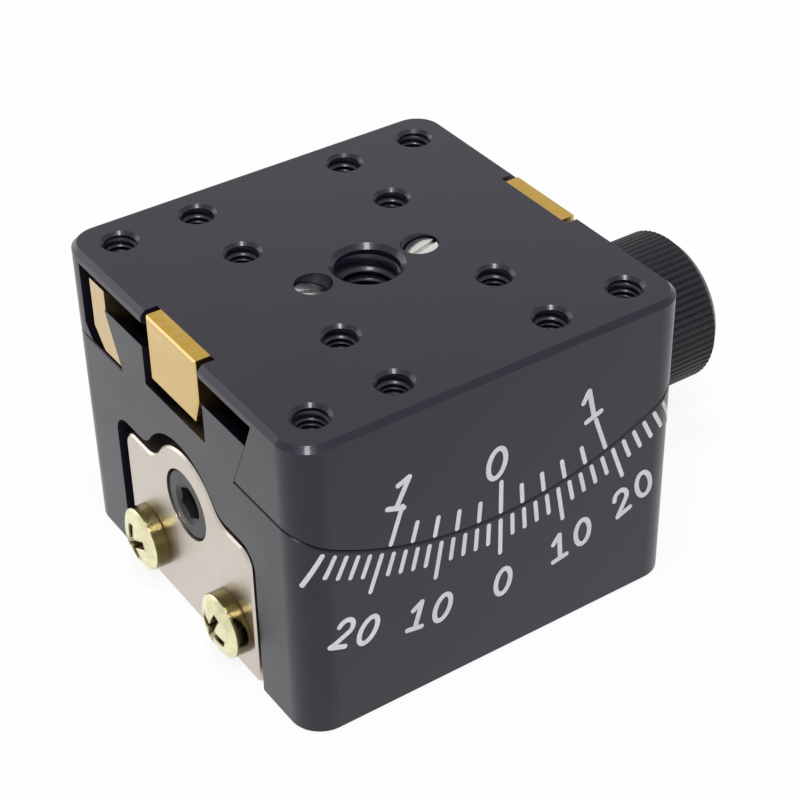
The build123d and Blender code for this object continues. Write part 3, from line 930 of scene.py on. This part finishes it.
@dataclass
class FaceMarks:
    """Filled engraving on the front face and its rounded corners, as thin raised ribbons."""

    proud: float = 0.03
    lift: float = 0.006
    sunk: float = 0.05
    step: float = 0.3
    cap_steps: int = 4
    cap_reach: float = 0.93
    strokes: list[Stroke] = field(default_factory=list)

    def surface(self, x: float) -> tuple[Point2, Point2]:
        """Finds the front of the block at one X; the face goes on round its corners.

        Args:
            x: position across the unrolled face.

        Returns:
            The point (x, y) on the outline and the outward direction there.
        """
        flat = SIDE / 2 - CORNER_R
        past = max(abs(x) - flat, 0.0)
        if past == 0.0:
            return (x, -SIDE / 2), (0.0, -1.0)
        lean = past / CORNER_R
        side = math.copysign(1.0, x)
        centre = (side * flat, CORNER_R - SIDE / 2)
        outward = (side * math.sin(lean), -math.cos(lean))
        return (centre[0] + outward[0] * CORNER_R, centre[1] + outward[1] * CORNER_R), outward

    def _ring(self, left: Point2, right: Point2, top: float) -> list[Point3]:
        """Section of a ribbon across the stroke.

        Args:
            left: left edge point.
            right: right edge point.
            top: how far its top stands out of the face.

        Returns:
            Two points on top and two buried.
        """
        ring = []
        for (x, z), height in ((left, top), (right, top), (right, -self.sunk), (left, -self.sunk)):
            (px, py), (nx, ny) = self.surface(x)
            ring.append((px + nx * height, py + ny * height, z))
        return ring

    def _rows(self, stroke: Stroke) -> list[tuple[Point2, Point2]]:
        """Left and right edge points along a stroke, with round ends on an open one.

        Args:
            stroke: the stroke to follow.

        Returns:
            A left and a right point for each row of the ribbon.
        """
        points = stroke.resampled(self.step)
        count = len(points)
        half = stroke.width / 2
        quarter = math.radians(90.0) * self.cap_reach
        cap = [quarter * (k + 1) / self.cap_steps for k in range(self.cap_steps)]
        rows = []
        for index, point in enumerate(points):
            before = points[index - 1] if index or stroke.closed else point
            after = points[(index + 1) % count] if index < count - 1 or stroke.closed else point
            dx, dz = after[0] - before[0], after[1] - before[1]
            length = math.hypot(dx, dz)
            dx, dz = dx / length, dz / length
            turns = [0.0]
            if not stroke.closed and index == 0:
                turns = [-turn for turn in reversed(cap)] + turns
            if not stroke.closed and index == count - 1:
                turns = turns + cap
            for turn in turns:
                along, across = half * math.sin(turn), half * math.cos(turn)
                x, z = point[0] + dx * along, point[1] + dz * along
                rows.append(((x - dz * across, z + dx * across), (x + dz * across, z - dx * across)))
        return rows

    def build(self, name: str) -> bpy.types.Object:
        """Makes one object of all strokes.

        Args:
            name: name of the piece.

        Returns:
            The new object.
        """
        maker = MeshMaker()
        for stroke in self.strokes:
            top = self.proud + self.lift * stroke.layer
            rings = [self._ring(left, right, top) for left, right in self._rows(stroke)]
            maker.add_sweep(rings, stroke.closed)
        return maker.build(name)


@dataclass(frozen=True)
class DigitPen:
    """Sloping single-stroke digits, drawn radially round the tilt axis."""

    height: float
    width: float
    stroke: float
    slope: float = 0.12
    pitch: float = 0.0

    def _glyph(self, digit: str) -> list[tuple[list[Point2], bool]]:
        """Strokes of one digit in a box one unit high and one wide, about its centre.

        Args:
            digit: 0, 1 or 2.

        Returns:
            Points of each stroke and whether it closes on itself.
        """
        steps = 22
        half = 0.5
        if digit == "0":
            turns = [math.tau * k / steps for k in range(steps)]
            return [([(half * math.cos(a), half * math.sin(a)) for a in turns], True)]
        foot = ([(-0.46, -half), (half, -half)], False)
        if digit == "1":
            flag = ([(-0.42, 0.24), (0.02, half)], False)
            stem = ([(0.04, half), (0.04, -half)], False)
            return [flag, stem, foot]
        bow_start, bow_sweep = 170, 200
        bow_width, bow_height, bow_middle = 0.46, 0.3, 0.2
        turns = [math.radians(bow_start - bow_sweep * k / steps) for k in range(steps + 1)]
        bow = [(bow_width * math.cos(a), bow_middle + bow_height * math.sin(a)) for a in turns]
        return [(bow + [(-bow_width, -half)], False), foot]

    def write(self, marks: FaceMarks, text: str, angle: float, radius: float) -> None:
        """Adds a number to the marks.

        Args:
            marks: where the strokes go.
            text: the digits.
            angle: degrees round the tilt axis, positive towards the knob.
            radius: distance of the text's middle from the tilt axis.
        """
        turn = math.radians(angle)
        for place, digit in enumerate(text):
            shift = (place - (len(text) - 1) / 2) * self.pitch
            for index, (points, closed) in enumerate(self._glyph(digit)):
                drawn = []
                for u, v in points:
                    across = shift + u * self.width + v * self.height * self.slope
                    up = v * self.height - radius
                    x = across * math.cos(turn) - up * math.sin(turn)
                    z = TILT_Z + across * math.sin(turn) + up * math.cos(turn)
                    drawn.append((x, z))
                marks.strokes.append(Stroke(drawn, self.stroke, closed, 1 + index % 2))


@dataclass(frozen=True)
class ThreadRidge:
    """Ridge of an internal V thread, which stands inward from the wall of a plain hole."""

    hole_r: float
    pitch: float
    bottom_z: float
    top_z: float
    segments: int = 28
    depth_share: float = 0.54
    flank_share: float = 0.499
    crest_share: float = 1 / 16
    root_share: float = 0.02
    buried: float = 0.04

    def add_to(self, maker: MeshMaker, x: float, y: float) -> None:
        """Adds the ridge of one hole.

        Args:
            maker: collects the mesh.
            x: place of the hole's axis.
            y: place of the hole's axis.
        """
        depth = self.depth_share * self.pitch
        half = self.flank_share * self.pitch
        crest = self.crest_share * self.pitch
        buried_r = self.hole_r + self.buried
        root_r = self.hole_r - self.root_share * depth
        length = self.top_z - self.bottom_z - 2 * half
        count = max(2, round(length / self.pitch * self.segments))
        rings = []
        for index in range(count + 1):
            turn = math.tau * index / self.segments
            z = self.bottom_z + half + length * index / count
            fade = min(1.0, (index + 1) / self.segments, (count - index + 1) / self.segments)
            crest_r = self.hole_r - depth * fade
            section = [
                (buried_r, -half),
                (root_r, -half),
                (crest_r, -crest),
                (crest_r, crest),
                (root_r, half),
                (buried_r, half),
            ]
            rings.append([(x + r * math.cos(turn), y + r * math.sin(turn), z + dz) for r, dz in section])
        maker.add_sweep(rings, False)


@dataclass
class BaseBlock:
    """Base with its main scale and the tapped holes underneath."""

    shop: FinishShop
    nodes: dict[str, bpy.types.Object]
    tick_start_r: float = SEAM_R + 0.32
    short_end_r: float = SEAM_R + 2.75
    long_end_r: float = SEAM_R + 4.35
    tick_width: float = 0.43
    tick_step: int = 2
    long_tick_step: int = 10
    last_tick: int = 30
    number_places: tuple[tuple[str, float, float], ...] = (
        ("20", -20.3, 43.3),
        ("10", -9.95, 42.95),
        ("0", 0.5, 42.84),
        ("10", 10.7, 42.43),
        ("20", 20.5, 42.3),
    )
    hole_place: float = 16.0
    hole_depth: float = 6.0
    mouth: float = 0.45

    def build(self) -> list[bpy.types.Object]:
        """Dresses the base and makes its scale and threads.

        Returns:
            The new pieces.
        """
        self.shop.coat(self.nodes["base_body"], BLACK_ANODISED)
        return [self._scale(), self._threads()]

    def _scale(self) -> bpy.types.Object:
        """Main scale: a tick for every two degrees, long ones and numbers for every ten.

        Returns:
            The new piece.
        """
        marks = FaceMarks()
        for angle in range(-self.last_tick, self.last_tick + 1, self.tick_step):
            end = self.short_end_r if angle % self.long_tick_step else self.long_end_r
            marks.strokes.append(radial_stroke(angle, self.tick_start_r, end, self.tick_width))
        pen = DigitPen(height=2.75, width=1.55, stroke=0.5, pitch=2.65)
        for text, angle, radius in self.number_places:
            pen.write(marks, text, angle, radius)
        piece = marks.build("main_scale")
        self.shop.coat(piece, SCALE_PAINT)
        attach(piece, "base")
        return piece

    def _threads(self) -> bpy.types.Object:
        """Threads of the four mounting holes in the bottom face.

        Returns:
            The new piece.
        """
        maker = MeshMaker()
        ridge = ThreadRidge(M4_R, M4_PITCH, self.mouth, self.hole_depth)
        for x, y in square_of_holes(self.hole_place, self.hole_place):
            ridge.add_to(maker, x, y)
        piece = maker.build("base_threads", THREAD_SMOOTH_DEGREES)
        self.shop.coat(piece, BLACK_ANODISED)
        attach(piece, "base")
        return piece


def radial_stroke(angle: float, start_r: float, end_r: float, width: float) -> Stroke:
    """Makes a tick along a radius of the tilt axis.

    Args:
        angle: degrees from straight down, positive towards the knob.
        start_r: radius where its paint begins.
        end_r: radius where its paint ends.
        width: width of the tick.

    Returns:
        The stroke, whose round ends stay inside both radii.
    """
    turn = math.radians(angle)
    ends = (start_r + width / 2, end_r - width / 2)
    return Stroke([(radius * math.sin(turn), TILT_Z - radius * math.cos(turn)) for radius in ends], width)


def square_of_holes(x: float, y: float) -> list[Point2]:
    """Gives the four places of a rectangle of holes."""
    return [(side_x * x, side_y * y) for side_x in (-1, 1) for side_y in (-1, 1)]


@dataclass
class StagePlate:
    """Stage plate with its vernier and the tapped holes in the top face."""

    shop: FinishShop
    nodes: dict[str, bpy.types.Object]
    line_start_r: float = SEAM_R - 0.25
    short_end_r: float = SEAM_R - 2.5
    zero_end_r: float = SEAM_R - 3.9
    one_end_r: float = SEAM_R - 4.4
    line_width: float = 0.44
    division_degrees: float = 3.8
    divisions: int = 5
    number_places: tuple[tuple[str, float, float], ...] = (
        ("1", -19.9, 29.7),
        ("0", -0.94, 29.3),
        ("1", 19.07, 29.0),
    )
    outer_hole: float = 16.0
    inner_hole: float = 8.0
    corner_depth: float = 3.2
    hole_depth: float = 5.0
    centre_depth: float = 7.1
    centre_segments: int = 48
    mouth: float = 0.3
    centre_mouth: float = 0.45

    def build(self) -> list[bpy.types.Object]:
        """Dresses the plate and makes its vernier and threads.

        Returns:
            The new pieces.
        """
        self.shop.coat(self.nodes["stage_plate"], BLACK_ANODISED)
        return [self._vernier(), self._threads()]

    def _vernier(self) -> bpy.types.Object:
        """Vernier: five divisions each side, with 0 in the middle and 1 at both ends.

        Returns:
            The new piece.
        """
        marks = FaceMarks()
        ends = {0: self.zero_end_r, self.divisions: self.one_end_r}
        for index in range(-self.divisions, self.divisions + 1):
            end = ends.get(abs(index), self.short_end_r)
            angle = index * self.division_degrees
            marks.strokes.append(radial_stroke(angle, end, self.line_start_r, self.line_width))
        pen = DigitPen(height=3.0, width=1.75, stroke=0.5)
        for text, angle, radius in self.number_places:
            pen.write(marks, text, angle, radius)
        piece = marks.build("vernier_scale")
        self.shop.coat(piece, SCALE_PAINT)
        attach(piece, "stage")
        return piece

    def _threads(self) -> bpy.types.Object:
        """Threads of the twelve M3 holes and of the M6 hole in the middle.

        Returns:
            The new piece.
        """
        maker = MeshMaker()
        top = HEIGHT - self.mouth
        corner = ThreadRidge(M3_R, M3_PITCH, HEIGHT - self.corner_depth, top)
        inner = ThreadRidge(M3_R, M3_PITCH, HEIGHT - self.hole_depth, top)
        for x, y in square_of_holes(self.outer_hole, self.outer_hole):
            corner.add_to(maker, x, y)
        for across in (self.outer_hole, self.inner_hole):
            for x, y in square_of_holes(self.inner_hole, across):
                inner.add_to(maker, x, y)
        centre_top = HEIGHT - self.centre_mouth
        centre = ThreadRidge(M6_R, M6_PITCH, HEIGHT - self.centre_depth, centre_top, self.centre_segments)
        centre.add_to(maker, 0.0, 0.0)
        piece = maker.build("stage_threads", THREAD_SMOOTH_DEGREES)
        self.shop.coat(piece, BLACK_ANODISED)
        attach(piece, "stage")
        return piece


@dataclass
class Hardware:
    """Every other carried-over piece with the finish that it has on the real stage."""

    shop: FinishShop
    nodes: dict[str, bpy.types.Object]

    def dress(self) -> None:
        """Coats the guide, gear, end plate and drive pieces."""
        finishes = {
            SECTOR_BRASS: ["worm_sector"],
            GIB_BRASS: ["gib"],
            BEARING_BRONZE: ["rear_bush", "front_bush", "thrust_washer"],
            END_PLATE_METAL: ["end_plate"],
            YELLOW_ZINC: ["end_plate_screws"],
            BLACK_OXIDE: ["preload_screw", "gib_screws", "knob_set_screws"],
            GROUND_STEEL: ["worm", "worm_shaft", "worm_pin", "thrust_ball", "sector_dowels", "stop_pin"],
            BRIGHT_SCREW: ["sector_screws", "knob_washer"],
            KNOB_BLACK: ["knob"],
        }
        for finish, names in finishes.items():
            for name in names:
                self.shop.coat(self.nodes[name], finish)
                LOG.info("dressed %s in %s", name, finish.label)


@dataclass(frozen=True)
class Lamp:
    """One soft square lamp, placed by azimuth and elevation round the stage.

    The angles are degrees, distance and size are metres, and power is watts.
    """

    name: str
    azimuth: float
    elevation: float
    distance: float
    size: float
    power: float

    def build(self, target: Vector) -> None:
        """Hangs the lamp and points it at the stage.

        Args:
            target: what it points at, in metres.
        """
        light = bpy.data.lights.new(self.name, "AREA")
        light.shape = "SQUARE"
        light.size = self.size
        light.energy = self.power
        lamp = place_object(self.name, light)
        a, e = math.radians(self.azimuth), math.radians(self.elevation)
        away = Vector((math.sin(a) * math.cos(e), -math.cos(a) * math.cos(e), math.sin(e)))
        lamp.location = target + away * self.distance
        lamp.rotation_mode = "QUATERNION"
        lamp.rotation_quaternion = (-away).to_track_quat("-Z", "Y")


def any_ray(bench: NodeBench, kinds: Sequence[str]) -> bpy.types.NodeSocket:
    """Tells some kinds of ray from the others.

    Args:
        bench: bench of a material or world.
        kinds: names of the Light Path outputs that count.

    Returns:
        A socket that is 1 on a ray of any of the kinds, and else 0.
    """
    path = bench.add("ShaderNodeLightPath")
    seen = path.outputs[kinds[0]]
    for kind in kinds[1:]:
        seen = bench.math("MAXIMUM", seen, path.outputs[kind])
    return seen


@dataclass
class Studio:
    """Camera, pale floor, white surroundings and soft lamps.

    The view's angles are degrees. The clips and floor_half are metres.
    """

    view_azimuth: float = 33.636
    view_down: float = 36.445
    view_roll: float = -1.1
    aim: Point3 = (-1.999, -7.793, 21.627)
    distance: float = 180.0
    focal_length: float = 92.585
    sensor: float = 36.0
    near_clip: float = 0.01
    far_clip: float = 20.0
    floor_half: float = 3.0
    floor_colour: Colour = (0.86, 0.86, 0.86)
    ambient: float = 0.36
    room_reflection: float = 0.8
    floor_glow: float = 0.9
    lamps: tuple[Lamp, ...] = (
        Lamp("overhead", -33.0, 83.0, 0.6, 0.12, 1.3),
        Lamp("above_camera", -33.0, 56.0, 0.6, 0.12, 1.4),
        Lamp("left_softbox", -158.0, 8.0, 0.7, 0.6, 1.5),
        Lamp("front_fill", -25.0, 8.0, 0.8, 0.5, 0.5),
    )

    def build(self) -> None:
        """Sets up everything that isn't the stage."""
        bpy.context.scene.view_settings.view_transform = "Standard"
        self._camera()
        self._floor()
        self._world()
        for lamp in self.lamps:
            lamp.build(Vector((0.0, 0.0, HEIGHT / 2)) * MM)

    def _camera(self) -> None:
        """Puts the camera where the photograph was taken from."""
        data = bpy.data.cameras.new("photo_camera")
        data.lens = self.focal_length
        data.sensor_width = self.sensor
        data.clip_start = self.near_clip
        data.clip_end = self.far_clip
        camera = place_object("photo_camera", data)
        a, e = math.radians(self.view_azimuth), math.radians(self.view_down)
        forward = Vector((math.sin(a) * math.cos(e), math.cos(a) * math.cos(e), -math.sin(e)))
        level = forward.cross(Vector((0.0, 0.0, 1.0))).normalized()
        above = level.cross(forward)
        roll = math.radians(self.view_roll)
        right = level * math.cos(roll) + above * math.sin(roll)
        up = right.cross(forward)
        turn = Matrix((right, up, -forward)).transposed()
        place = Vector(self.aim) * MM - forward * self.distance * MM
        camera.matrix_world = Matrix.Translation(place) @ turn.to_4x4()
        bpy.context.scene.camera = camera

    def _floor(self) -> None:
        """Lays the floor, whose white lets the stage's shadow show faintly."""
        half = self.floor_half
        corners = [(-half, -half, 0.0), (half, -half, 0.0), (half, half, 0.0), (-half, half, 0.0)]
        mesh = bpy.data.meshes.new("floor")
        mesh.from_pydata(corners, [], [(0, 1, 2, 3)])
        floor = place_object("floor", mesh)
        material = bpy.data.materials.new("pale floor")
        bench = fresh_bench(material)
        matt = bench.add("ShaderNodeBsdfDiffuse")
        matt.inputs["Color"].default_value = solid_colour(self.floor_colour)
        glow = bench.add("ShaderNodeEmission")
        seen = any_ray(bench, ("Is Camera Ray", "Is Glossy Ray", "Is Transmission Ray"))
        mix = bench.add("ShaderNodeMixShader")
        bench.join(bench.product(seen, self.floor_glow), mix.inputs["Fac"])
        bench.join(matt.outputs[0], mix.inputs[1])
        bench.join(glow.outputs[0], mix.inputs[2])
        surface = bench.add("ShaderNodeOutputMaterial")
        bench.join(mix.outputs[0], surface.inputs["Surface"])
        mesh.materials.append(material)

    def _world(self) -> None:
        """White surroundings, a little dimmer in reflections and dimmer still as a light."""
        world = bpy.data.worlds.new("white room")
        bpy.context.scene.world = world
        bench = fresh_bench(world)
        reflected = any_ray(bench, ("Is Glossy Ray", "Is Transmission Ray"))
        dimmed = bench.remap(reflected, UNIT_SPAN, (self.ambient, self.room_reflection))
        strength = bench.math("MAXIMUM", dimmed, any_ray(bench, ("Is Camera Ray",)))
        room = bench.add("ShaderNodeBackground")
        room.inputs["Color"].default_value = solid_colour((1.0, 1.0, 1.0))
        bench.join(strength, room.inputs["Strength"])
        surface = bench.add("ShaderNodeOutputWorld")
        bench.join(room.outputs[0], surface.inputs["Surface"])


def main() -> None:
    """Builds the tilt stage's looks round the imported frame."""
    logging.basicConfig(level=logging.INFO, format="%(message)s")
    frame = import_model()
    nodes = frame["nodes"]
    shop = FinishShop()
    Studio().build()
    for assembly in (BaseBlock(shop, nodes), StagePlate(shop, nodes)):
        for piece in assembly.build():
            LOG.info("made %s with %d faces", piece.name, len(piece.data.polygons))
    Hardware(shop, nodes).dress()


if __name__ == "__main__":
    main()
